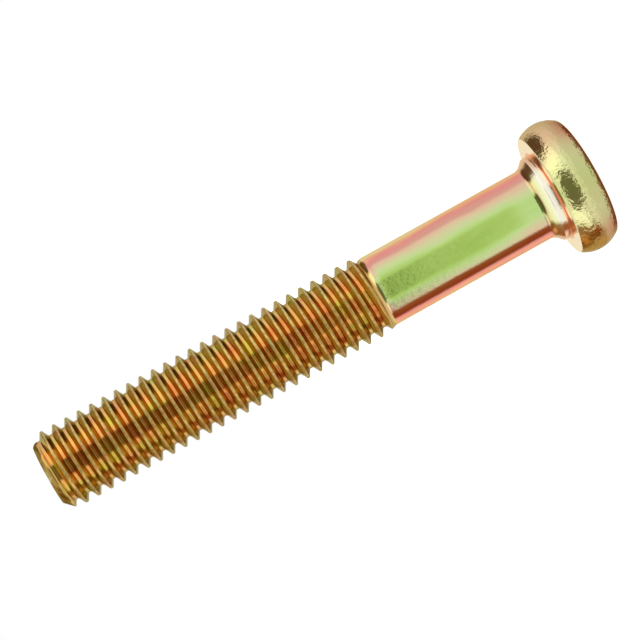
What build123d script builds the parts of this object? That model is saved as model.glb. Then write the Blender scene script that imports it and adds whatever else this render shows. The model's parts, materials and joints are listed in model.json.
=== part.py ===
from build123d import *
from math import sqrt
import os

# Button head socket screw, M6 with a 1 mm pitch, made as one piece: the head and its hexagon
# socket are cold forged, and the thread is rolled on a shank of the thread's pitch diameter.
#
# Millimetres. The screw stands on its head: the origin is the centre of the head's flat end face,
# +Z runs up the axis, through the head, the collar and the shank to the tip of the thread.

# Head: a barrel-shaped disc between two flat faces, its side one arc in section.
HEAD_DIAMETER = 10.2
SIDE_ARC_RADIUS = 2.4
END_FACE_TO_WIDEST = 1.65
WIDEST_TO_BEARING_FACE = 1.43
END_RIM_ROUNDING = 0.6
BEARING_RIM_ROUNDING = 0.15

# Socket: a hexagon with a bevelled mouth and a shallow pyramid left by the forging punch.
SOCKET_ACROSS_FLATS = 4.0
SOCKET_DEPTH = 2.2
SOCKET_BEVEL = 0.4
SOCKET_POINT_HEIGHT = 0.45

# Collar between the head and the shank: a short band and a cone, standing out from the shank.
COLLAR_STEP = 0.57
COLLAR_BAND_LENGTH = 0.58
COLLAR_CONE_LENGTH = 0.57
COLLAR_FOOT_FILLET = 0.15
COLLAR_EDGE_ROUNDING = 0.3
SHANK_FOOT_FILLET = 0.5

# Plain shank, and the threaded length from its run-out to the tip.
SHANK_DIAMETER = 5.45
SHANK_LENGTH = 12.8
THREAD_DIAMETER = 6.0
THREAD_PITCH = 1.0
THREAD_LENGTH = 27.0
RUN_OUT_TURNS = 1.0
TIP_CHAMFER = 0.75

# Heights of the sections above the end face.
HEAD_HEIGHT = END_FACE_TO_WIDEST + WIDEST_TO_BEARING_FACE
COLLAR_CONE_START = HEAD_HEIGHT + COLLAR_BAND_LENGTH
SHANK_START = COLLAR_CONE_START + COLLAR_CONE_LENGTH
THREAD_START = SHANK_START + SHANK_LENGTH
FULL_THREAD_START = THREAD_START + RUN_OUT_TURNS * THREAD_PITCH
TIP = THREAD_START + THREAD_LENGTH


def head_radius(from_widest):
    """The head's radius at a height above or below its widest section, on the side's arc."""
    arc_centre = HEAD_DIAMETER / 2 - SIDE_ARC_RADIUS
    return arc_centre + sqrt(SIDE_ARC_RADIUS**2 - from_widest**2)


def half_section():
    """The screw's section on one side of its axis, with radius along X and height along Z.

    The threaded length is drawn at the thread's major diameter. Over the run-out it tapers to the
    shank, as the rolled crests do.
    """
    end_rim = (head_radius(END_FACE_TO_WIDEST), 0)
    widest = (HEAD_DIAMETER / 2, END_FACE_TO_WIDEST)
    bearing_rim = (head_radius(WIDEST_TO_BEARING_FACE), HEAD_HEIGHT)
    collar_foot = (SHANK_DIAMETER / 2 + COLLAR_STEP, HEAD_HEIGHT)
    collar_edge = (SHANK_DIAMETER / 2 + COLLAR_STEP, COLLAR_CONE_START)
    shank_foot = (SHANK_DIAMETER / 2, SHANK_START)
    run_out_foot = (SHANK_DIAMETER / 2, THREAD_START)
    run_out_top = (THREAD_DIAMETER / 2, FULL_THREAD_START)
    tip_edge = (THREAD_DIAMETER / 2, TIP - TIP_CHAMFER)
    tip_rim = (THREAD_DIAMETER / 2 - TIP_CHAMFER, TIP)

    outline = Curve() + [
        Line((0, 0), end_rim),
        ThreePointArc(end_rim, widest, bearing_rim),
        Polyline(bearing_rim, collar_foot, collar_edge, shank_foot, run_out_foot),
        Polyline(run_out_foot, run_out_top, tip_edge, tip_rim, (0, TIP), (0, 0)),
    ]
    section = make_face(outline)
    roundings = [
        (end_rim, END_RIM_ROUNDING),
        (bearing_rim, BEARING_RIM_ROUNDING),
        (collar_foot, COLLAR_FOOT_FILLET),
        (collar_edge, COLLAR_EDGE_ROUNDING),
        (shank_foot, SHANK_FOOT_FILLET),
    ]
    for point, radius in roundings:
        corner = section.vertices().sort_by_distance(point)[0]
        section = fillet(corner, radius)
    return Plane.XZ * section


def socket():
    """The space of the hexagon socket, rising from its bevelled mouth in the end face."""
    hexagon = RegularPolygon(SOCKET_ACROSS_FLATS / 2, 6, major_radius=False)
    mouth = RegularPolygon(SOCKET_ACROSS_FLATS / 2 + SOCKET_BEVEL, 6, major_radius=False)
    bevel = loft([mouth, Pos(0, 0, SOCKET_BEVEL) * hexagon])
    walls = extrude(hexagon, SOCKET_DEPTH)
    floor = Pos(0, 0, SOCKET_DEPTH) * hexagon
    point = loft([floor.face(), Vertex(0, 0, SOCKET_DEPTH + SOCKET_POINT_HEIGHT)])
    return bevel + walls + point


screw = revolve(half_section(), Axis.Z) - socket()

os.makedirs("parts", exist_ok=True)
export_step(screw, "parts/button_head_screw.step")
print("button_head_screw", round(screw.volume, 2), "mm3", screw.bounding_box().size)
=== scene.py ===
# %% [markdown]
# # A plated button head screw
#
# The finished piece is one screw with a hexagon socket: a barrel-shaped head, a short collar, a
# plain shank and a rolled thread, all under one skin of yellow zinc plating. It stands on its head.
#
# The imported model, called the frame below, already has its place and its true size. It holds a
# plain solid, drawn at the thread's outer diameter. This script gives the screw its real thread,
# its finish, a studio round it and a camera. The first cell reads the frame and keeps its box,
# because nothing made later may stand outside it.

import json
import math

import bpy
import numpy as np
from mathutils import Matrix, Vector


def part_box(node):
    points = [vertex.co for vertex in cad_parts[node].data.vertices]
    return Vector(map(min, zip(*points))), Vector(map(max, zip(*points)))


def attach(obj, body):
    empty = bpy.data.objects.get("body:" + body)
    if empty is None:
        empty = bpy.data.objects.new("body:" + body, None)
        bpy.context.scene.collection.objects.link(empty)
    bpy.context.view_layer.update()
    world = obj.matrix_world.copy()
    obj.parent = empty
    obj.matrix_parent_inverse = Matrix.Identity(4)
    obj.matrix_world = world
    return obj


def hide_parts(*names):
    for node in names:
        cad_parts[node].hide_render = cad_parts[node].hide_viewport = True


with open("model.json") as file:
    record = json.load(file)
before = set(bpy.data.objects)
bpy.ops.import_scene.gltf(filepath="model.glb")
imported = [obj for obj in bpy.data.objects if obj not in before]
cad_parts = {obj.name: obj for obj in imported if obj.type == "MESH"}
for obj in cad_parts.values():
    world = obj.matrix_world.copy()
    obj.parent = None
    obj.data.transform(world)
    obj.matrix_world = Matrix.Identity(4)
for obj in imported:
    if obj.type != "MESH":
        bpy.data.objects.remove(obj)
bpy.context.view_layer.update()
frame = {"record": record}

# %% [markdown]
# ## The sizes
#
# A maker works in millimetres and Blender in metres, so the screw's lengths are written in
# millimetres and turned to metres where Blender takes them. The outer sizes come from the frame:
# its box gives the head's radius and the two ends, and the record's mounts give the bearing face
# and the thread's radius. The head's radius is three thousandths of a millimetre less than the
# box's, to stay inside it. The rest are the screw's own shop sizes: a 1 mm pitch, and a shank at
# the diameter that a rolled thread starts from.

# %% Sizes of the screw, in millimetres
MM = 0.001
record = frame["record"]
mounts = {mount["name"]: mount for mount in record["mounts"]}
low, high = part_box("button_head_screw")

END_FACE = low.z / MM
TIP = high.z / MM
INSIDE_BOX = 0.003
HEAD_RADIUS = min(high.x, high.y, -low.x, -low.y) / MM - INSIDE_BOX
BEARING_FACE = mounts["bearing_face"]["pos_m"][2] / MM
THREAD_RADIUS = mounts["thread"]["dims"]["r_mm"]

PITCH = 1.0
SHANK_RADIUS = 2.725
SHANK_LENGTH = 12.8
COLLAR_STEP = 0.57
COLLAR_BAND_LENGTH = 0.58
COLLAR_CONE_LENGTH = 0.57
RUN_OUT = 1.1
TIP_CHAMFER = 0.75
END_FACE_TO_WIDEST = 1.65
SIDE_ARC = 2.4
END_RIM_ROUNDING = 0.6
BEARING_RIM_ROUNDING = 0.15
SHANK_FOOT_ROUNDING = 0.7
COLLAR_EDGE_ROUNDING = 0.03
COLLAR_FOOT_ROUNDING = 0.12
SOCKET_APOTHEM = 2.0
SOCKET_BEVEL = 0.4
SOCKET_DEPTH = 2.2
SOCKET_POINT = 0.45
MOUTH_ROUNDING = 0.05
SOCKET_ROUNDING = 0.06

WIDEST = END_FACE + END_FACE_TO_WIDEST
COLLAR_RADIUS = SHANK_RADIUS + COLLAR_STEP
COLLAR_CONE_START = BEARING_FACE + COLLAR_BAND_LENGTH
SHANK_START = COLLAR_CONE_START + COLLAR_CONE_LENGTH
THREAD_START = SHANK_START + SHANK_LENGTH
TIP_RADIUS = THREAD_RADIUS - TIP_CHAMFER
MOUTH_APOTHEM = SOCKET_APOTHEM + SOCKET_BEVEL

print("tip", round(TIP, 3), "head radius", round(HEAD_RADIUS, 3), "bearing face", BEARING_FACE)
print("thread from", round(THREAD_START, 3), "mm, radius", THREAD_RADIUS)

# %% [markdown]
# ## Rounded corners
#
# No edge on a forged and plated part is truly sharp. A corner with even a tiny round catches a thin
# line of light, and that line is what tells the eye that the part is real. So before any surface is
# made, here is a helper that takes a drawn outline with corners and gives each corner an arc. It
# also adds a point close to both ends of every long straight, so that the smooth shading stays flat
# on the straight and bends only in the arc.


# %% Outline helpers
def arc(centre, radius, start, end, steps):
    """Points of an arc: the centre plus the radius x (cos, sin) of angles that run evenly from start
    to end, in degrees."""
    angles = np.radians(np.linspace(start, end, steps + 1))[:, None]
    return np.array(centre) + radius * np.hstack([np.cos(angles), np.sin(angles)])


def rounded(points, radii, steps=3):
    """Rounds the corners of an outline.

    At each corner the outline turns by an angle. The arc that fits it starts at the distance
    radius x tan(angle / 2) before the corner, ends as far after it, and its points are the corner's
    arc centre plus the radius times directions that turn evenly from one end to the other.
    """
    points = [np.array(p, float) for p in points]
    out = [points[0]]
    for before, corner, after, radius in zip(points, points[1:], points[2:], radii):
        if radius <= 0:
            out.append(corner)
            continue
        into = (corner - before) / np.linalg.norm(corner - before)
        away = (after - corner) / np.linalg.norm(after - corner)
        turn = math.acos(np.clip(into @ away, -1, 1))
        reach = radius * math.tan(turn / 2)
        side = away - into * (into @ away)
        side /= np.linalg.norm(side)
        centre = corner - into * reach + side * radius
        angles = np.linspace(0, turn, steps + 1)[:, None]
        out.extend(centre + radius * (into * np.sin(angles) - side * np.cos(angles)))
    out.append(points[-1])
    return np.array(out)


def supported(points, gap=0.04, longest=0.6):
    """Adds points to the long straights: one at the distance gap from each end, and others evenly
    between them, so that none is longer than longest."""
    out = [points[0]]
    for start, end in zip(points, points[1:]):
        length = np.linalg.norm(end - start)
        if length > 4 * gap:
            inner = np.linspace(gap, length - gap, max(2, math.ceil(length / longest) + 1))
            out.extend(start + (end - start) * (inner / length)[:, None])
        out.append(end)
    return np.array(out)


# %% [markdown]
# ## The thread
#
# A rolled thread is one long ridge that climbs one pitch on each turn. Its section is a triangle
# with 60 degrees between the flanks, a narrow crest and a flat root with crisp corners. Next to the
# shank it runs out: over a little more than a turn the crests sink to the shank, and the root comes
# up to it by a short slope.
#
# A twisted row of rings, as a Screw modifier would give, needs trimming at both ends. It is neater
# to lay the rows of the grid along the ridge. Every row climbs as it goes round, and keeps its own
# radius, from the crest's to the root's. A crest is then always on a row and stays crisp. Where a
# row would leave the threaded length it is held at the end of it, so the first and last rings come
# out level and meet the shank and the tip without a gap.

# %% Section of the thread
# The section runs from the middle of one crest to the middle of the next. On the X axis a crest is
# CREST_AT_X above a whole millimetre.
COLUMNS = 120
CREST_FLAT = 0.035
CREST_ROUNDING = 0.08
ROOT_RADIUS = 2.47
ROOT_ROUNDING = 0.02
CREST_AT_X = 0.015
ROOT_SLOPE_START = 0.16
ROOT_SLOPE_LENGTH = 0.62
NEAR_END = 0.012

FLANK = math.radians(30)
crest_centre = np.array([CREST_FLAT, THREAD_RADIUS - CREST_ROUNDING])
flank_top = crest_centre + CREST_ROUNDING * np.array([math.cos(FLANK), math.sin(FLANK)])
root_corner = flank_top[0] + (flank_top[1] - ROOT_RADIUS) * math.tan(FLANK)
root_flat = root_corner + ROOT_ROUNDING * math.tan(FLANK)
half_section = np.vstack(
    [
        arc(crest_centre, CREST_ROUNDING, 90, 30, 3),
        arc((root_flat, ROOT_RADIUS + ROOT_ROUNDING), ROOT_ROUNDING, 210, 270, 3),
        [(PITCH / 2, ROOT_RADIUS)],
    ]
)
half_section = supported(half_section, gap=0.02)
section = np.vstack([half_section, half_section[-2::-1] * (-1, 1) + (PITCH, 0)])
print("rows to a pitch:", len(section), "flat of the root:", round(PITCH - 2 * root_flat, 3))


# %% Rows of the thread
def thread_rows(columns):
    """The threaded length as a grid of heights and radii, and where its rows are held at an end.

    Height = height of the row at angle 0 + pitch x angle / full turn.
    Radius = the section's at that row. Over the run-out a crest sinks to the shank's radius, and
    a root comes up to it by a short slope, both by share x share x (3 - 2 x share) of the way. At
    the tip the radius is never more than the 45 degree chamfer's. A row that comes nearer to an
    end than NEAR_END is held at it.
    """
    angle = np.arange(columns) / columns
    first = math.floor(THREAD_START / PITCH) - 2
    turns = math.ceil((TIP - THREAD_START) / PITCH) + 4
    row_heights = (first + np.arange(turns)[:, None] * PITCH + section[:, 0]).ravel() + CREST_AT_X
    radii = np.tile(section[:, 1], turns)
    height = row_heights[:, None] + PITCH * angle
    at_start = height < THREAD_START + NEAR_END
    at_tip = height > TIP - NEAR_END
    height = np.clip(height, THREAD_START, TIP)
    above = radii[:, None] - SHANK_RADIUS
    past_start = height - THREAD_START
    crest_share = past_start / RUN_OUT
    root_share = (past_start - ROOT_SLOPE_START) / ROOT_SLOPE_LENGTH
    grow = np.clip(np.where(above > 0, crest_share, root_share), 0, 1)
    radius = SHANK_RADIUS + above * grow * grow * (3 - 2 * grow)
    radius = np.minimum(radius, TIP_RADIUS + TIP - height)
    return height, radius, at_start, at_tip


thread_height, thread_radius, at_start, at_tip = thread_rows(COLUMNS)
print("thread grid:", thread_height.shape, "radius", thread_radius.min(), "to", thread_radius.max())

# %% [markdown]
# ## From the shank to the socket
#
# The rest of the screw is turned in shape, so it could be a spun outline. The socket is a hexagon,
# though, and it has to grow out of the round end face without a break. Both are covered by one
# idea: each ring has a height, a distance from the axis, and a share of hexagon. At share 0 the
# ring is a circle. At share 1 its distance is that of the flat sides, and the radius grows towards
# the corners by one over the cosine of the angle from the middle of the flat. On the end face, the
# last circle and the first hexagon lie a little outside the socket's mouth.

# %% Outline of the shank, the collar and the head
LAST_CIRCLE = MOUTH_APOTHEM + 0.6
FIRST_HEXAGON = MOUTH_APOTHEM + 0.12
LAST_HEXAGON = 0.08


def rolled_into_corner(height, rounding):
    """Centre of the rounding between the side arc and a flat face at that height, and the angle at
    which it meets the arc. A small ball inside both touches the arc where the two centres and the
    touching point lie on one line."""
    up = height - WIDEST - math.copysign(rounding, height - WIDEST)
    out = math.sqrt((SIDE_ARC - rounding) ** 2 - up**2)
    return (HEAD_RADIUS - SIDE_ARC + out, WIDEST + up), math.degrees(math.atan2(up, out))


bearing_rim_centre, bearing_rim_angle = rolled_into_corner(BEARING_FACE, BEARING_RIM_ROUNDING)
end_rim_centre, end_rim_angle = rolled_into_corner(END_FACE, END_RIM_ROUNDING)
head = np.vstack(
    [
        arc(bearing_rim_centre, BEARING_RIM_ROUNDING, 90, bearing_rim_angle, 4),
        arc((HEAD_RADIUS - SIDE_ARC, WIDEST), SIDE_ARC, bearing_rim_angle, end_rim_angle, 24)[1:-1],
        arc(end_rim_centre, END_RIM_ROUNDING, end_rim_angle, -90, 8),
    ]
)
neck = rounded(
    [
        (SHANK_RADIUS, THREAD_START),
        (SHANK_RADIUS, SHANK_START),
        (COLLAR_RADIUS, COLLAR_CONE_START),
        (COLLAR_RADIUS, BEARING_FACE),
        head[0],
    ],
    [SHANK_FOOT_ROUNDING, COLLAR_EDGE_ROUNDING, COLLAR_FOOT_ROUNDING],
    steps=5,
)
body = supported(np.vstack([neck, head[1:], [(LAST_CIRCLE, END_FACE)]]))

point_share = 1 - LAST_HEXAGON / SOCKET_APOTHEM
hexagon = supported(
    rounded(
        [
            (FIRST_HEXAGON, END_FACE),
            (MOUTH_APOTHEM, END_FACE),
            (SOCKET_APOTHEM, END_FACE + SOCKET_BEVEL),
            (SOCKET_APOTHEM, END_FACE + SOCKET_DEPTH),
            (LAST_HEXAGON, END_FACE + SOCKET_DEPTH + SOCKET_POINT * point_share),
        ],
        [MOUTH_ROUNDING, SOCKET_ROUNDING, SOCKET_ROUNDING],
    )
)
rings = np.vstack([body[1:], hexagon])
share = np.concatenate([np.zeros(len(body) - 1), np.ones(len(hexagon))])
print("rings below the thread:", len(rings))

# %% [markdown]
# ## One closed mesh
#
# Cold forging and rolling leave one piece of metal, so the screw is one closed surface. The grid of
# the thread, the rings and the two poles are joined by sharing vertices, not by laying one on
# another: each grid place is given the number of its vertex, and places that are held at an end of
# the thread are given the number on the level ring there. A triangle that has lost a side in this
# way is left out.

# %% Vertices and their numbers
# The tip's face is a shallow dish, given by radii and depths, and its depth on the axis.
TIP_DISH = [(0.3, 0.10), (1.2, 0.09), (1.85, 0.02), (TIP_RADIUS, 0.0)]
TIP_DISH_MIDDLE = 0.105

angle = 2 * np.pi * np.arange(COLUMNS) / COLUMNS
corner_stretch = 1 / np.cos(angle % (np.pi / 3) - np.pi / 6)


def ring_points(radius, height):
    """Points at radius x (cos, sin) of each column's angle, at that height."""
    radius, height = np.broadcast_arrays(radius, height)
    around = np.broadcast_to(angle, radius.shape)
    return np.stack([radius * np.cos(around), radius * np.sin(around), height], axis=-1)


tip_dish = np.array([(radius, TIP - depth) for radius, depth in TIP_DISH])
tip_face = supported(tip_dish, gap=0.04, longest=0.4)
tip_points = ring_points(tip_face[:-1, :1] + 0 * angle, tip_face[:-1, 1:] + 0 * angle)
tip_ring = ring_points(np.full(COLUMNS, TIP_RADIUS), TIP)
start_ring = ring_points(np.full(COLUMNS, SHANK_RADIUS), THREAD_START)
thread_points = ring_points(thread_radius, thread_height)
lower_radius = rings[:, :1] * (1 + share[:, None] * (corner_stretch - 1))
lower_points = ring_points(lower_radius, rings[:, 1:] + 0 * angle)

parts = {
    "tip pole": np.array([[0, 0, TIP - TIP_DISH_MIDDLE]]),
    "tip face": tip_points.reshape(-1, 3),
    "tip ring": tip_ring,
    "thread": thread_points.reshape(-1, 3),
    "start ring": start_ring,
    "lower": lower_points.reshape(-1, 3),
    "socket pole": np.array([[0, 0, END_FACE + SOCKET_DEPTH + SOCKET_POINT]]),
}
starts = dict(zip(parts, np.cumsum([0] + [len(p) for p in parts.values()])))
vertices = np.vstack(list(parts.values()))
print("places on the grids:", len(vertices))


# %% Triangles between neighbouring rows
def quads_between(upper, lower):
    """Two triangles for each square between a ring of vertex numbers and the ring below it. Both
    rings run anticlockwise seen from the tip, so the faces point outwards."""
    upper_next, lower_next = np.roll(upper, -1, axis=-1), np.roll(lower, -1, axis=-1)
    return pairs(upper, upper_next, lower, lower_next)


def pairs(upper, upper_next, lower, lower_next):
    """The two triangles of each square, from the numbers of its four corners."""
    one = np.stack([upper, lower, lower_next], axis=-1).reshape(-1, 3)
    two = np.stack([upper, lower_next, upper_next], axis=-1).reshape(-1, 3)
    return np.vstack([one, two])


column = np.arange(COLUMNS)
tip_ring_ids = starts["tip ring"] + column
start_ring_ids = starts["start ring"] + column
thread_ids = starts["thread"] + np.arange(thread_height.size).reshape(thread_height.shape)
thread_ids = np.where(at_tip, tip_ring_ids, np.where(at_start, start_ring_ids, thread_ids))
rows_to_pitch = len(section)
wrapped = np.vstack([thread_ids[rows_to_pitch:, :1], np.full((rows_to_pitch, 1), tip_ring_ids[0])])
thread_next = np.hstack([thread_ids[:, 1:], wrapped])
thread_faces = pairs(thread_ids[1:], thread_next[1:], thread_ids[:-1], thread_next[:-1])

above = [starts["tip face"] + i * COLUMNS + column for i in range(len(tip_points))] + [tip_ring_ids]
below = [start_ring_ids] + [starts["lower"] + i * COLUMNS + column for i in range(len(rings))]
faces = [thread_faces]
faces += [quads_between(above[i], above[i + 1]) for i in range(len(above) - 1)]
faces += [quads_between(below[i], below[i + 1]) for i in range(len(below) - 1)]
tip_pole = np.full(COLUMNS, starts["tip pole"])
socket_pole = np.full(COLUMNS, starts["socket pole"])
faces.append(np.stack([tip_pole, above[0], np.roll(above[0], -1)], axis=-1))
faces.append(np.stack([below[-1], socket_pole, np.roll(below[-1], -1)], axis=-1))
faces = np.vstack(faces)
lost = (faces[:, 0] == faces[:, 1]) | (faces[:, 1] == faces[:, 2]) | (faces[:, 0] == faces[:, 2])
faces = faces[~lost]
used, renumbered = np.unique(faces, return_inverse=True)
vertices, faces = vertices[used], renumbered.reshape(faces.shape)
print("vertices:", len(vertices), "triangles:", len(faces))


# %% The screw as a Blender object
# The socket's six corners are too tight for a round to show, so their edges are marked sharp. They
# are the edges of the socket whose two ends both lie 30 degrees from the middle of a flat.
PAST_MOUTH = 2.9
PAST_SOCKET = 3.0
SAME_ANGLE = 1e-3


def mesh_object(name, points, triangles):
    """A smooth-shaded object at the origin, with its place in its mesh, in metres."""
    mesh = bpy.data.meshes.new(name)
    mesh.vertices.add(len(points))
    mesh.vertices.foreach_set("co", (points * MM).astype(np.float32).ravel())
    mesh.loops.add(triangles.size)
    mesh.loops.foreach_set("vertex_index", triangles.astype(np.int32).ravel())
    mesh.polygons.add(len(triangles))
    mesh.polygons.foreach_set("loop_start", np.arange(0, triangles.size, 3, dtype=np.int32))
    mesh.polygons.foreach_set("use_smooth", np.ones(len(triangles), bool))
    mesh.update(calc_edges=True)
    mesh.validate()
    made = bpy.data.objects.new(name, mesh)
    bpy.context.scene.collection.objects.link(made)
    return made


screw = mesh_object("rolled_screw", vertices, faces)

edges = np.zeros(len(screw.data.edges) * 2, np.int32)
screw.data.edges.foreach_get("vertices", edges)
ends = vertices[edges.reshape(-1, 2)]
edge_angle = np.arctan2(ends[..., 1], ends[..., 0])
from_flat = np.abs(edge_angle % (np.pi / 3) - np.pi / 6)
end_radius = np.hypot(ends[..., 0], ends[..., 1])
in_socket = (end_radius < PAST_MOUTH).all(1) & (ends[..., 2] < PAST_SOCKET).all(1)
sharp = in_socket & (np.abs(from_flat - np.pi / 6) < SAME_ANGLE).all(1)
screw.data.attributes.new("sharp_edge", "BOOLEAN", "EDGE")
screw.data.attributes["sharp_edge"].data.foreach_set("value", sharp)
print("sharp edges in the socket:", int(sharp.sum()))

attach(screw, "root")
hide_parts("button_head_screw")


# %% [markdown]
# ## Yellow zinc plating
#
# The steel carries a thin coat of zinc, and over it a clear chromate film. The film is about as
# thick as a wave of light is long, so light returned from its two faces adds up in some colours and
# cancels in others: straw, coral, pink, cream and green follow each other as it gets thicker. The
# colours are clearly tinted but pale. The deep brown in the thread is not another paint. There the
# light strikes several flanks before it leaves the groove, and is tinted each time.
#
# Three small node groups are shared by the finishes. One says where on the screw a point is, one
# gives the film's colour from its thickness, and one makes clouds for patches, mottle and grain.
# The places are read from Object coordinates, so the plating stays on the screw however it is
# turned.

# %% Colour helpers
def linear(red, green, blue):
    """A colour written as 0 to 255 on a screen, as the light it stands for. A part of 0.04045 or
    less is divided by 12.92. Any other becomes ((part + 0.055) / 1.055) to the power of 2.4."""
    part = np.array([red, green, blue]) / 255
    light = np.where(part <= 0.04045, part / 12.92, ((part + 0.055) / 1.055) ** 2.4)
    return (*light.tolist(), 1.0)


def grey(value):
    """A plain number as a colour, for ramps that hold numbers."""
    return (value, value, value, 1.0)


# %% Node helpers
def node(tree, kind, inputs=None, **settings):
    """A new node with its properties set, and its inputs too, by name or number. An input may be
    given a value or another node's output."""
    made = tree.nodes.new(kind)
    for key, value in settings.items():
        setattr(made, key, value)
    for key, value in (inputs or {}).items():
        if isinstance(value, bpy.types.NodeSocket):
            tree.links.new(value, made.inputs[key])
        else:
            made.inputs[key].default_value = value
    return made


def maths(tree, operation, *values):
    """The result of one Math node."""
    return node(tree, "ShaderNodeMath", dict(enumerate(values)), operation=operation).outputs[0]


def between(tree, value, low, high, start=0.0, end=1.0):
    """A number that goes from start to end while the value goes from low to high. It has gone
    share x share x (3 - 2 x share) of its way where the value has gone that share of its own."""
    inputs = {"Value": value, "From Min": low, "From Max": high, "To Min": start, "To Max": end}
    return node(tree, "ShaderNodeMapRange", inputs, interpolation_type="SMOOTHSTEP").outputs["Result"]


def ramp(tree, value, stops):
    """The colour at a value, on a ramp of places from 0 to 1 and colours."""
    made = node(tree, "ShaderNodeValToRGB", {0: value})
    elements = made.color_ramp.elements
    elements.remove(elements[-1])
    elements[0].position, elements[0].color = stops[0]
    for place, colour in stops[1:]:
        elements.new(place).color = colour
    return made.outputs["Color"]


def mixed(tree, share, first, second):
    """The first colour where the share is 0, the second where it is 1."""
    return node(tree, "ShaderNodeMix", {0: share, 6: first, 7: second}, data_type="RGBA").outputs[2]


def group(name, inputs, outputs):
    """A new shader node group with the named sockets, and its two end nodes."""
    tree = bpy.data.node_groups.new(name, "ShaderNodeTree")
    for socket_name, kind, value in inputs:
        tree.interface.new_socket(socket_name, in_out="INPUT", socket_type=kind).default_value = value
    for socket_name, kind in outputs:
        tree.interface.new_socket(socket_name, in_out="OUTPUT", socket_type=kind)
    return tree, tree.nodes.new("NodeGroupInput"), tree.nodes.new("NodeGroupOutput")


# %% Group: where on the screw
# Distance from the axis is the length of (x, y), in millimetres, and height is z in millimetres.
# Sideways is the angle between (x, y) and the Y axis over a right angle: 0 at the front, which faces
# the camera, and at the back, 1 at the two sides. The front is turned by FILM_TURN. Several finishes
# lay the film's colours out by this angle, which paints the film's sheen at glancing angles onto the
# screw.
FILM_TURN = math.radians(3)
whereabouts, _, ends_out = group(
    "place on the screw",
    [],
    [
        ("From Axis", "NodeSocketFloat"),
        ("Height", "NodeSocketFloat"),
        ("Sideways", "NodeSocketFloat"),
    ],
)
place = node(whereabouts, "ShaderNodeTexCoord").outputs["Object"]
in_mm = node(
    whereabouts,
    "ShaderNodeMapping",
    {"Vector": place, "Rotation": (0, 0, FILM_TURN), "Scale": (1 / MM, 1 / MM, 1 / MM)},
).outputs[0]
level = node(whereabouts, "ShaderNodeVectorMath", {0: in_mm, 1: (1, 1, 0)}, operation="MULTIPLY")
distance = node(whereabouts, "ShaderNodeVectorMath", {0: level.outputs[0]}, operation="LENGTH")
axes = node(whereabouts, "ShaderNodeSeparateXYZ", {0: in_mm}).outputs
across_front = maths(whereabouts, "ABSOLUTE", axes["X"])
towards_front = maths(whereabouts, "ABSOLUTE", axes["Y"])
turned = maths(whereabouts, "ARCTAN2", across_front, towards_front)
sideways = maths(whereabouts, "MULTIPLY", turned, 2 / math.pi)
whereabouts.links.new(distance.outputs["Value"], ends_out.inputs["From Axis"])
whereabouts.links.new(axes["Z"], ends_out.inputs["Height"])
whereabouts.links.new(sideways, ends_out.inputs["Sideways"])

# %% Group: the film's colour from its thickness
FILM = [
    (0.00, linear(228, 214, 162)),
    (0.08, linear(236, 176, 138)),
    (0.17, linear(227, 145, 139)),
    (0.28, linear(216, 160, 140)),
    (0.40, linear(226, 190, 158)),
    (0.50, linear(218, 203, 158)),
    (0.60, linear(205, 214, 154)),
    (0.70, linear(190, 219, 138)),
    (0.82, linear(178, 207, 112)),
    (0.92, linear(166, 198, 97)),
    (1.00, linear(156, 188, 92)),
]
film, ends_in, ends_out = group(
    "chromate film", [("Thickness", "NodeSocketFloat", 0.5)], [("Colour", "NodeSocketColor")]
)
film.links.new(ramp(film, ends_in.outputs["Thickness"], FILM), ends_out.inputs["Colour"])

# %% Group: clouds, for patches, mottle and grain
# The noise is read at Scale cells to a millimetre, and stretched along the axis by Stretch.
clouds, ends_in, ends_out = group(
    "clouds",
    [
        ("Scale", "NodeSocketFloat", 1.0),
        ("Stretch", "NodeSocketFloat", 1.0),
        ("Detail", "NodeSocketFloat", 3.0),
    ],
    [("Value", "NodeSocketFloat")],
)
place = node(clouds, "ShaderNodeTexCoord").outputs["Object"]
axes = node(clouds, "ShaderNodeSeparateXYZ", {0: place}).outputs
along = maths(clouds, "DIVIDE", axes["Z"], ends_in.outputs["Stretch"])
squeezed = node(clouds, "ShaderNodeCombineXYZ", {0: axes["X"], 1: axes["Y"], 2: along}).outputs[0]
to_metre = maths(clouds, "DIVIDE", ends_in.outputs["Scale"], MM)
noise = node(
    clouds,
    "ShaderNodeTexNoise",
    {"Vector": squeezed, "Scale": to_metre, "Detail": ends_in.outputs["Detail"], "Roughness": 0.55},
).outputs["Fac"]
clouds.links.new(noise, ends_out.inputs["Value"])
print("node groups:", [g.name for g in bpy.data.node_groups])


# %% [markdown]
# ## The finishes
#
# Every part of the screw is metal with a film on it, so every finish is a fully metallic surface
# whose base colour is the film's. They differ in how thick the film is and where, in roughness, and
# in the grain below it: the shank is drawn and smooth, the thread is rolled, the head is forged and
# pitted, and its end face is dull.
#
# A metal's Specular Tint is its colour where it is seen at a glancing angle. Left at white, the
# outline of a tinted metal fades into a white studio.

# %% Material helpers
def plated(name, roughness, glancing):
    """A metallic material: itself, its node tree and its Principled shader."""
    material = bpy.data.materials.new(name)
    material.use_nodes = True
    shader = material.node_tree.nodes["Principled BSDF"]
    shader.inputs["Metallic"].default_value = 1.0
    shader.inputs["Roughness"].default_value = roughness
    shader.inputs["Specular Tint"].default_value = glancing
    return material, material.node_tree, shader


def use(tree, made_group, **inputs):
    """The outputs of a node group placed in a material with its own values."""
    return node(tree, "ShaderNodeGroup", inputs, node_tree=made_group).outputs


def roughened(tree, shader, height, depth):
    """Bumps a shader's surface by a height from 0 to 1, times the depth in millimetres."""
    bump = node(tree, "ShaderNodeBump", {"Height": height, "Strength": 1.0, "Distance": depth * MM})
    tree.links.new(bump.outputs["Normal"], shader.inputs["Normal"])
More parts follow.
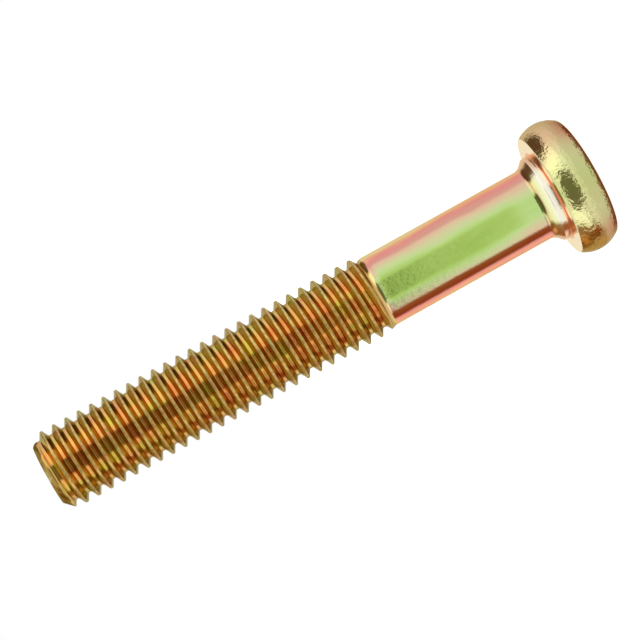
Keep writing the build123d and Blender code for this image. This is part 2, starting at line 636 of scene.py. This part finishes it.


# %% Finish of the plain shank
# The film's colour is set by the angle from the front, which faces the camera: green along the
# front and the back, through cream to pink towards the sides. The film colours are real, but laid
# out by the view they are a painted sheen, the change of colour at glancing angles. The bands are
# more even near the collar, and the film a little thinner just beside the thread and over the first
# 3 mm from the collar. Broad patches and long streaks vary it.
shank_finish, tree, shader = plated("drawn shank plating", 0.11, linear(246, 226, 200))
where = use(tree, whereabouts)
# Painted sheen: film thickness by the angle from the camera's front, green facing it, pink at the
# sides.
shank_sheen_bands = ramp(
    tree,
    where["Sideways"],
    [
        (0.00, grey(0.92)),
        (0.16, grey(0.90)),
        (0.22, grey(0.76)),
        (0.29, grey(0.63)),
        (0.37, grey(0.53)),
        (0.46, grey(0.40)),
        (0.54, grey(0.26)),
        (0.67, grey(0.16)),
        (0.74, grey(0.10)),
        (0.82, grey(0.02)),
    ],
)
evenness = between(tree, where["Height"], SHANK_START, THREAD_START, 0.84, 1.08)
beside_thread = between(tree, where["Height"], THREAD_START - 0.35, THREAD_START + 0.1, 1.0, 0.72)
beside_collar = between(tree, where["Height"], SHANK_START + 0.9, SHANK_START + 2.9, 0.85, 1.0)
patches = use(tree, clouds, Scale=0.5, Stretch=2.5, Detail=3.0)["Value"]
streaks = use(tree, clouds, Scale=1.6, Stretch=7.0, Detail=3.0)["Value"]
thick = maths(tree, "MULTIPLY_ADD", maths(tree, "SUBTRACT", shank_sheen_bands, 0.5), evenness, 0.5)
thick = maths(tree, "MULTIPLY", thick, maths(tree, "MULTIPLY", beside_thread, beside_collar))
thick = maths(tree, "MULTIPLY_ADD", maths(tree, "SUBTRACT", patches, 0.5), 0.26, thick)
thick = maths(tree, "MULTIPLY_ADD", maths(tree, "SUBTRACT", streaks, 0.5), 0.14, thick)
tree.links.new(use(tree, film, Thickness=thick)["Colour"], shader.inputs["Base Color"])
fine = use(tree, clouds, Scale=4.0, Stretch=1.5, Detail=3.0)["Value"]
roughened(tree, shader, fine, 0.006)

# %% Finish of the rolled thread
# The rolling dies press the flanks and the roots smooth. The crests rise free between them and
# stay a little rough. The film is straw to orange in the roots, deep gold on the flanks and pale on
# the crests, which have small worn specks. Towards the two sides, away from the camera's front,
# the film's bands are mixed in: real film colours, placed by the view as a painted sheen. Where the
# thread starts it is pale, from coral to yellow.
thread_finish, tree, shader = plated("rolled thread plating", 0.16, linear(194, 190, 168))
where = use(tree, whereabouts)
clumps = use(tree, clouds, Scale=0.7, Stretch=1.0, Detail=2.0)["Value"]
root_colour = ramp(
    tree,
    clumps,
    [
        (0.34, linear(224, 144, 78)),
        (0.44, linear(234, 166, 90)),
        (0.54, linear(232, 180, 96)),
        (0.64, linear(212, 188, 80)),
    ],
)
flank_colour = ramp(
    tree,
    clumps,
    [
        (0.34, linear(210, 163, 92)),
        (0.50, linear(212, 176, 94)),
        (0.66, linear(206, 182, 94)),
    ],
)
crest_colour = ramp(
    tree,
    use(tree, clouds, Scale=1.1, Stretch=1.0, Detail=3.0)["Value"],
    [
        (0.34, linear(232, 180, 132)),
        (0.46, linear(230, 190, 116)),
        (0.56, linear(222, 192, 116)),
        (0.66, linear(208, 200, 134)),
    ],
)
grain = use(tree, clouds, Scale=3.2, Stretch=1.0, Detail=3.0)["Value"]
worn = between(tree, grain, 0.42, 0.56, 0.5, 0.0)
crest_colour = mixed(tree, worn, crest_colour, linear(150, 118, 62))
out_of_root = between(tree, where["From Axis"], ROOT_RADIUS + 0.02, ROOT_RADIUS + 0.08)
on_crest = between(tree, where["From Axis"], THREAD_RADIUS - 0.10, THREAD_RADIUS - 0.03)
base = mixed(tree, out_of_root, root_colour, flank_colour)
base = mixed(tree, on_crest, base, crest_colour)
bands = use(tree, clouds, Scale=0.9, Stretch=0.6, Detail=1.0)["Value"]
# Painted sheen: film bands mixed in towards the sides, as seen from the camera's front.
thread_side_sheen = between(tree, where["Sideways"], 0.4, 0.75, 0.0, 0.4)
base = mixed(tree, thread_side_sheen, base, use(tree, film, Thickness=bands)["Colour"])
starting = between(tree, where["Height"], THREAD_START + 0.35, THREAD_START + 0.7, 1.0, 0.0)
start_colour = mixed(tree, clumps, linear(244, 190, 140), linear(240, 224, 130))
base = mixed(tree, starting, base, start_colour)
tree.links.new(base, shader.inputs["Base Color"])
tree.links.new(between(tree, on_crest, 0, 1, 0.12, 0.34), shader.inputs["Roughness"])
fine = use(tree, clouds, Scale=4.5, Stretch=1.0, Detail=3.0)["Value"]
roughened(tree, shader, fine, 0.005)

# %% Finish of the tip
# The chamfer and the face of the tip are cut before the thread is rolled, and stay dull.
tip_finish, tree, shader = plated("dull tip plating", 0.42, linear(150, 142, 108))
blotches = use(tree, clouds, Scale=0.9, Stretch=1.0, Detail=4.0)["Value"]
base = ramp(
    tree,
    blotches,
    [
        (0.36, linear(128, 92, 42)),
        (0.46, linear(176, 140, 76)),
        (0.54, linear(172, 152, 84)),
        (0.64, linear(226, 200, 154)),
    ],
)
tree.links.new(base, shader.inputs["Base Color"])
roughened(tree, shader, blotches, 0.05)

# %% Finish of the collar and the bearing face
# The film is thin here, and pale: yellow on the cone and nearly white on the band. Where the cone
# runs into the shank it turns brown, which is painted shade in that hollow. The collar turns coral
# towards its two sides, away from the camera's front, a painted sheen. The corner under the head
# has a coral line painted all round it, a painted reflection in that crease.
collar_finish, tree, shader = plated("collar plating", 0.14, linear(252, 240, 218))
where = use(tree, whereabouts)
# The last stop, brown, is painted shade where the cone runs into the shank.
base = ramp(
    tree,
    between(tree, where["Height"], BEARING_FACE, SHANK_START + 0.3),
    [
        (0.00, linear(253, 244, 222)),
        (0.30, linear(254, 252, 236)),
        (0.50, linear(252, 252, 208)),
        (0.75, linear(240, 242, 180)),
        (0.90, linear(190, 160, 100)),
    ],
)
# Painted sheen: coral towards the sides, away from the camera's front.
collar_side_sheen = between(tree, where["Sideways"], 0.36, 0.62, 0.0, 0.8)
on_collar = between(tree, where["From Axis"], COLLAR_RADIUS + 0.05, COLLAR_RADIUS + 0.15, 1.0, 0.0)
base = mixed(tree, maths(tree, "MULTIPLY", collar_side_sheen, on_collar), base, linear(222, 160, 134))
# Painted reflection: a coral line all round the corner under the head.
corner_painted_reflection = maths(
    tree,
    "MULTIPLY",
    between(tree, where["Height"], BEARING_FACE + 0.06, BEARING_FACE + 0.15, 1.0, 0.0),
    between(tree, where["From Axis"], COLLAR_RADIUS + 0.16, COLLAR_RADIUS + 0.26, 1.0, 0.0),
)
base = mixed(tree, corner_painted_reflection, base, linear(242, 148, 110))
cast = use(tree, film, Thickness=use(tree, clouds, Scale=0.9, Stretch=1.0, Detail=3.0)["Value"])
base = mixed(tree, 0.12, base, cast["Colour"])
tree.links.new(base, shader.inputs["Base Color"])
fine = use(tree, clouds, Scale=3.0, Stretch=1.0, Detail=3.0)["Value"]
roughened(tree, shader, fine, 0.008)

# %% Finish of the forged head
# The film is yellow-green at the front and back of the barrel, where it faces the camera, and
# pinkish towards the sides, most of all low down on them: real film colours, laid out by the view
# as a painted sheen. On one side, on the half of the barrel towards the bearing face, is a painted
# reflection of a brown card, brown to gold. The forged surface is finely pitted, which breaks every
# reflection's edge into specks.
BROWN_REFLECTION_FULL = -4.1 * MM
BROWN_REFLECTION_END = -3.3 * MM
head_finish, tree, shader = plated("forged head plating", 0.13, linear(222, 208, 176))
where = use(tree, whereabouts)
# Painted sheen: film colour by the angle from the camera's front.
head_sheen_bands = ramp(
    tree,
    where["Sideways"],
    [
        (0.00, linear(215, 224, 143)),
        (0.27, linear(226, 226, 160)),
        (0.42, linear(226, 208, 154)),
        (0.55, linear(228, 182, 142)),
        (0.75, linear(214, 182, 146)),
        (1.00, linear(216, 196, 166)),
    ],
)
drift = use(tree, clouds, Scale=0.45, Stretch=1.0, Detail=4.0)["Value"]
base = mixed(tree, 0.2, head_sheen_bands, use(tree, film, Thickness=drift)["Colour"])
# Painted sheen: pink low down on the sides.
low_side_sheen = maths(
    tree,
    "MULTIPLY",
    between(tree, where["Sideways"], 0.35, 0.6, 0.0, 0.6),
    between(tree, where["Height"], END_FACE + 0.5, END_FACE + 1.4, 1.0, 0.0),
)
base = mixed(tree, low_side_sheen, base, linear(218, 146, 118))
place = node(tree, "ShaderNodeTexCoord").outputs["Object"]
axes = node(tree, "ShaderNodeSeparateXYZ", {0: place}).outputs
# Painted reflection of a brown card on the -X side, brown to gold, towards the bearing face.
painted_brown_reflection = maths(
    tree,
    "MULTIPLY",
    between(tree, axes["X"], BROWN_REFLECTION_FULL, BROWN_REFLECTION_END, 0.9, 0.0),
    between(tree, where["Height"], WIDEST - 0.7, WIDEST - 0.2),
)
base = mixed(tree, painted_brown_reflection, base, mixed(tree, drift, linear(120, 78, 34), linear(206, 164, 84)))
tree.links.new(base, shader.inputs["Base Color"])
pits = use(tree, clouds, Scale=3.2, Stretch=1.0, Detail=2.0)["Value"]
roughened(tree, shader, pits, 0.045)

# %% Finish of the end face
# The flat face round the socket is dull, mottled with coral, brown and olive. Both edges are
# glossier, and lighter in colour too: golden over its rounded rim and pale pink on the bevel of the
# socket, which are painted highlights on top of the real gloss.
RIM_START = 4.0
RIM_FULL = 4.35
BEVEL_FULL = 3.0
BEVEL_END = 3.3
end_finish, tree, shader = plated("end face plating", 0.36, linear(226, 200, 170))
where = use(tree, whereabouts)
mottle = use(tree, clouds, Scale=1.1, Stretch=1.0, Detail=5.0)["Value"]
face_colour = ramp(
    tree,
    mottle,
    [
        (0.36, linear(168, 92, 66)),
        (0.44, linear(204, 130, 96)),
        (0.50, linear(216, 148, 118)),
        (0.55, linear(196, 160, 96)),
        (0.62, linear(158, 146, 76)),
    ],
)
rim_gloss_and_highlight = between(tree, where["From Axis"], RIM_START, RIM_FULL)
bevel_gloss_and_highlight = maths(
    tree,
    "MULTIPLY",
    between(tree, where["Height"], END_FACE + 0.01, END_FACE + 0.05),
    between(tree, where["From Axis"], BEVEL_FULL, BEVEL_END, 1.0, 0.0),
)
# Painted highlights: a golden rim and a pale pink bevel, over the dull mottled face.
base = mixed(tree, rim_gloss_and_highlight, face_colour, linear(232, 214, 150))
base = mixed(tree, bevel_gloss_and_highlight, base, linear(238, 206, 178))
tree.links.new(base, shader.inputs["Base Color"])
bright = maths(tree, "MAXIMUM", rim_gloss_and_highlight, bevel_gloss_and_highlight)
tree.links.new(between(tree, bright, 0, 1, 0.40, 0.15), shader.inputs["Roughness"])
pits = use(tree, clouds, Scale=3.2, Stretch=1.0, Detail=4.0)["Value"]
roughened(tree, shader, pits, 0.012)

# %% Finish of the socket
# The punched walls are olive gold, and the floor, where the plating liquid stood, is yellow-green.
socket_finish, tree, shader = plated("socket plating", 0.2, linear(226, 210, 160))
where = use(tree, whereabouts)
deep = between(tree, where["Height"], SOCKET_DEPTH - 0.2, SOCKET_DEPTH)
walls = mixed(tree, deep, linear(176, 158, 88), linear(196, 206, 84))
drift = use(tree, clouds, Scale=0.8, Stretch=2.0, Detail=3.0)["Value"]
base = mixed(tree, 0.25, walls, use(tree, film, Thickness=drift)["Colour"])
tree.links.new(base, shader.inputs["Base Color"])
fine = use(tree, clouds, Scale=3.0, Stretch=2.0, Detail=3.0)["Value"]
roughened(tree, shader, fine, 0.006)

# %% Each face gets its finish
# A face takes the first finish in the list whose limits its middle is within. At the tip, the dull
# finish covers all of the last 0.36 mm, and the chamfer alone for a little longer.
DULL_TIP = 0.36
DULL_CHAMFER = 0.65
CHAMFER_SKIN = 0.04
FACE_SKIN = 0.02
THREAD_FINISH_START = THREAD_START + 0.24
SHANK_FINISH_START = SHANK_START + 0.12
SOCKET_FINISH_START = END_FACE + SOCKET_BEVEL * 1.02
END_FINISH_TOP = END_FACE + 0.06

middles = vertices[faces].mean(axis=1)
height = middles[:, 2]
from_axis = np.hypot(middles[:, 0], middles[:, 1])
on_bearing_face = (height > BEARING_FACE - FACE_SKIN) & (from_axis > COLLAR_RADIUS)
on_chamfer = from_axis > TIP_RADIUS + TIP - height - CHAMFER_SKIN
regions = [
    (tip_finish, (height > TIP - DULL_CHAMFER) & on_chamfer | (height > TIP - DULL_TIP)),
    (thread_finish, height > THREAD_FINISH_START),
    (shank_finish, height > SHANK_FINISH_START),
    (collar_finish, (height > BEARING_FACE) | on_bearing_face),
    (socket_finish, (from_axis < PAST_MOUTH) & (height > SOCKET_FINISH_START)),
    (end_finish, (height < END_FINISH_TOP) | (from_axis < PAST_MOUTH)),
    (head_finish, height < BEARING_FACE),
]
finish_number = np.select([within for _, within in regions], range(len(regions)))
for finish, _ in regions:
    screw.data.materials.append(finish)
screw.data.polygons.foreach_set("material_index", finish_number.astype(np.int32))
print("faces of each finish:", dict(zip([f.name for f, _ in regions], np.bincount(finish_number))))


# %% [markdown]
# ## The studio
#
# Bright metal has no look of its own. It shows what stands round it, and all white round it would
# leave it flat. A studio therefore has a white tent with gaps and dark cards, and the metal shows
# them as crisp dark bands. Here the tent is the world. To the camera it is plain white. To the
# metal it is white as well, with soft-edged cards laid on it one after another: two lamps, the
# table, the dark of the camera and of who stands behind it, and dark and brown cards at the sides.


# %% The world
def direction_frame(azimuth, elevation):
    """The turn that takes the Z axis to a direction. Azimuth is measured from +X towards +Y, and
    elevation from the horizon, both in degrees. Its Y axis stays as upright as it can."""
    a, e = math.radians(azimuth), math.radians(elevation)
    ahead = Vector((math.cos(e) * math.cos(a), math.cos(e) * math.sin(a), math.sin(e)))
    right = Vector((-math.sin(a), math.cos(a), 0))
    up = ahead.cross(right)
    return Matrix((right, up, ahead)).transposed().to_euler()


world = bpy.data.worlds.new("white tent")
bpy.context.scene.world = world
world.use_nodes = True
tree = world.node_tree
tree.nodes.clear()
sky = node(tree, "ShaderNodeTexCoord").outputs["Generated"]


def patch(seen, azimuth, elevation, half_width, half_height, colour, edge, amount=1.0):
    """Lays a soft card over the colours seen so far and returns the new colours.

    The direction is turned so that the card's centre is at Z, and its two other parts are divided
    by the sines of the half width and half height. An oval card is full where their length is
    under 1 - edge, and past 1 + edge there is none of it. With two edges, one for its sides and one
    for its top and bottom, the card is straight sided: each part is faded by itself.
    """
    turned = node(tree, "ShaderNodeMapping", {"Vector": sky}, vector_type="TEXTURE")
    turned.inputs["Rotation"].default_value = direction_frame(azimuth, elevation)
    turned.inputs["Scale"].default_value = (
        math.sin(math.radians(half_width)),
        math.sin(math.radians(half_height)),
        1.0,
    )
    parts = node(tree, "ShaderNodeSeparateXYZ", {0: turned.outputs[0]}).outputs
    if isinstance(edge, tuple):
        fades = [
            between(tree, maths(tree, "ABSOLUTE", parts[axis]), 1 - blur, 1 + blur, 1.0, 0.0)
            for axis, blur in zip("XY", edge)
        ]
        soft = maths(tree, "MULTIPLY", *fades)
    else:
        squares = [maths(tree, "POWER", parts[axis], 2.0) for axis in "XY"]
        far = maths(tree, "SQRT", maths(tree, "ADD", *squares))
        soft = between(tree, far, 1 - edge, 1 + edge, 1.0, 0.0)
    ahead = maths(tree, "GREATER_THAN", parts["Z"], 0.0)
    mask = maths(tree, "MULTIPLY", maths(tree, "MULTIPLY", soft, ahead), amount)
    return mixed(tree, mask, seen, (*colour, 1.0))


# %% The cards
# Each has an azimuth, an elevation, a half width, a half height, a colour, an edge and an amount.
WHITE = (1.0, 1.0, 1.0, 1.0)
CARDS = {
    "warm far wall": (90, 5, 70, 60, (0.97, 0.95, 0.90), 0.2),
    "right lamp": (-32, 28, 30, 26, (1.4, 1.4, 1.35), 0.3),
    "left lamp": (-158, 28, 24, 22, (1.3, 1.3, 1.3), 0.3),
    "table": (0, -90, 72, 72, (0.76, 0.76, 0.74), 0.06),
    "dark gap under the far wall": (90, -62, 38, 42, (0.24, 0.09, 0.05), 0.1),
    "low grey strip": (-160, -1.8, 24, 3.2, (0.40, 0.36, 0.32), (0.4, 0.45), 0.9),
    "camera": (-96, 1, 29, 5.2, (0.27, 0.21, 0.14), (0.14, 0.35)),
    "darker top of the camera": (-95, 5, 25, 4.5, (0.12, 0.09, 0.05), (0.1, 0.3), 0.9),
    "who stands behind it": (-98, 25, 35, 24, (0.19, 0.17, 0.11), 0.15),
    "dark card high on the right": (19, 29, 32, 23, (0.13, 0.09, 0.045), 0.2),
    "brown card on the left": (170, 5, 15, 15, (0.40, 0.22, 0.08), 0.25),
    "brown card above it": (154, 27, 34, 22, (0.36, 0.20, 0.08), 0.2),
    "warm light on that card": (150, 22, 12, 11, (0.95, 0.62, 0.28), 0.4),
    "bright gap below it": (140, -8, 9, 6, (1.2, 1.15, 1.0), 0.4),
    "low red-brown card": (173, -6.5, 16.5, 8, (0.36, 0.12, 0.035), 0.3),
}
seen = WHITE
for card in CARDS.values():
    seen = patch(seen, *card)

plain = node(tree, "ShaderNodeBackground", {"Color": WHITE, "Strength": 1.0})
patched = node(tree, "ShaderNodeBackground", {"Color": seen, "Strength": 1.0})
glossy = node(tree, "ShaderNodeLightPath").outputs["Is Glossy Ray"]
chosen = node(tree, "ShaderNodeMixShader", {0: glossy, 1: plain.outputs[0], 2: patched.outputs[0]})
node(tree, "ShaderNodeOutputWorld", {"Surface": chosen.outputs[0]})
print("cards in the tent:", len(CARDS))

# %% [markdown]
# The floor is a plain white sheet just under the head. Three quarters of white is its own light, so
# that it stays white at the low angle at which it is seen. What falls on it is added, so that the
# screw keeps a faint, soft shadow. The metal doesn't see the sheet: it sees the table's card.

# %% The floor
FLOOR_HALF = 600.0
FLOOR_GAP = 0.02
OWN_LIGHT = 0.75
corners = np.array([(-1, -1, 0), (1, -1, 0), (1, 1, 0), (-1, 1, 0)]) * FLOOR_HALF
corners[:, 2] = END_FACE - FLOOR_GAP
floor = mesh_object("floor", corners, np.array([(0, 1, 2), (0, 2, 3)]))
floor_finish = bpy.data.materials.new("white sheet")
floor_finish.use_nodes = True
tree = floor_finish.node_tree
shader = tree.nodes["Principled BSDF"]
shader.inputs["Base Color"].default_value = (0.8, 0.8, 0.8, 1.0)
shader.inputs["Roughness"].default_value = 1.0
shader.inputs["Specular IOR Level"].default_value = 0.0
shader.inputs["Emission Color"].default_value = (1.0, 1.0, 1.0, 1.0)
seen_by_camera = node(tree, "ShaderNodeLightPath").outputs["Is Camera Ray"]
own_light = maths(tree, "MULTIPLY", seen_by_camera, OWN_LIGHT)
tree.links.new(own_light, shader.inputs["Emission Strength"])
floor.data.materials.append(floor_finish)
floor.visible_glossy = False
print("floor at", round(END_FACE - FLOOR_GAP, 3), "mm")


# %% [markdown]
# ## The camera
#
# The camera stands about 18 cm in front of the screw, three quarters of the way up it, and looks
# down by a little over three degrees. It sees the head's bearing face from above and meets the
# thread almost square on. It is rolled, which lays the upright screw across the picture from corner
# to corner.

# %% The camera
CAMERA_PLACE = Vector((0.25, -183.0, 32.38)) * MM
LOOK_DOWN = math.radians(3.3)
ROLL = math.radians(29.14)

along = Vector((0, -math.sin(LOOK_DOWN), -math.cos(LOOK_DOWN)))
across = Vector((-1, 0, 0))
backwards = Vector((0, -math.cos(LOOK_DOWN), math.sin(LOOK_DOWN)))
right = math.cos(ROLL) * along + math.sin(ROLL) * across
up = math.sin(ROLL) * along - math.cos(ROLL) * across
turn = Matrix((right, up, backwards)).transposed()

lens = bpy.data.cameras.new("studio camera")
lens.lens = 144.5
lens.sensor_width = 36.0
lens.clip_start = 0.01
lens.clip_end = 10.0
camera = bpy.data.objects.new("studio camera", lens)
camera.location = CAMERA_PLACE
camera.rotation_euler = turn.to_euler()
bpy.context.scene.collection.objects.link(camera)
bpy.context.scene.camera = camera
bpy.context.scene.view_settings.view_transform = "Standard"
print("camera handedness:", round(turn.determinant(), 3))

# %% [markdown]
# ## Last step
#
# Last, the view layer is brought up to date.

# %% Bring the view layer up to date
bpy.context.view_layer.update()
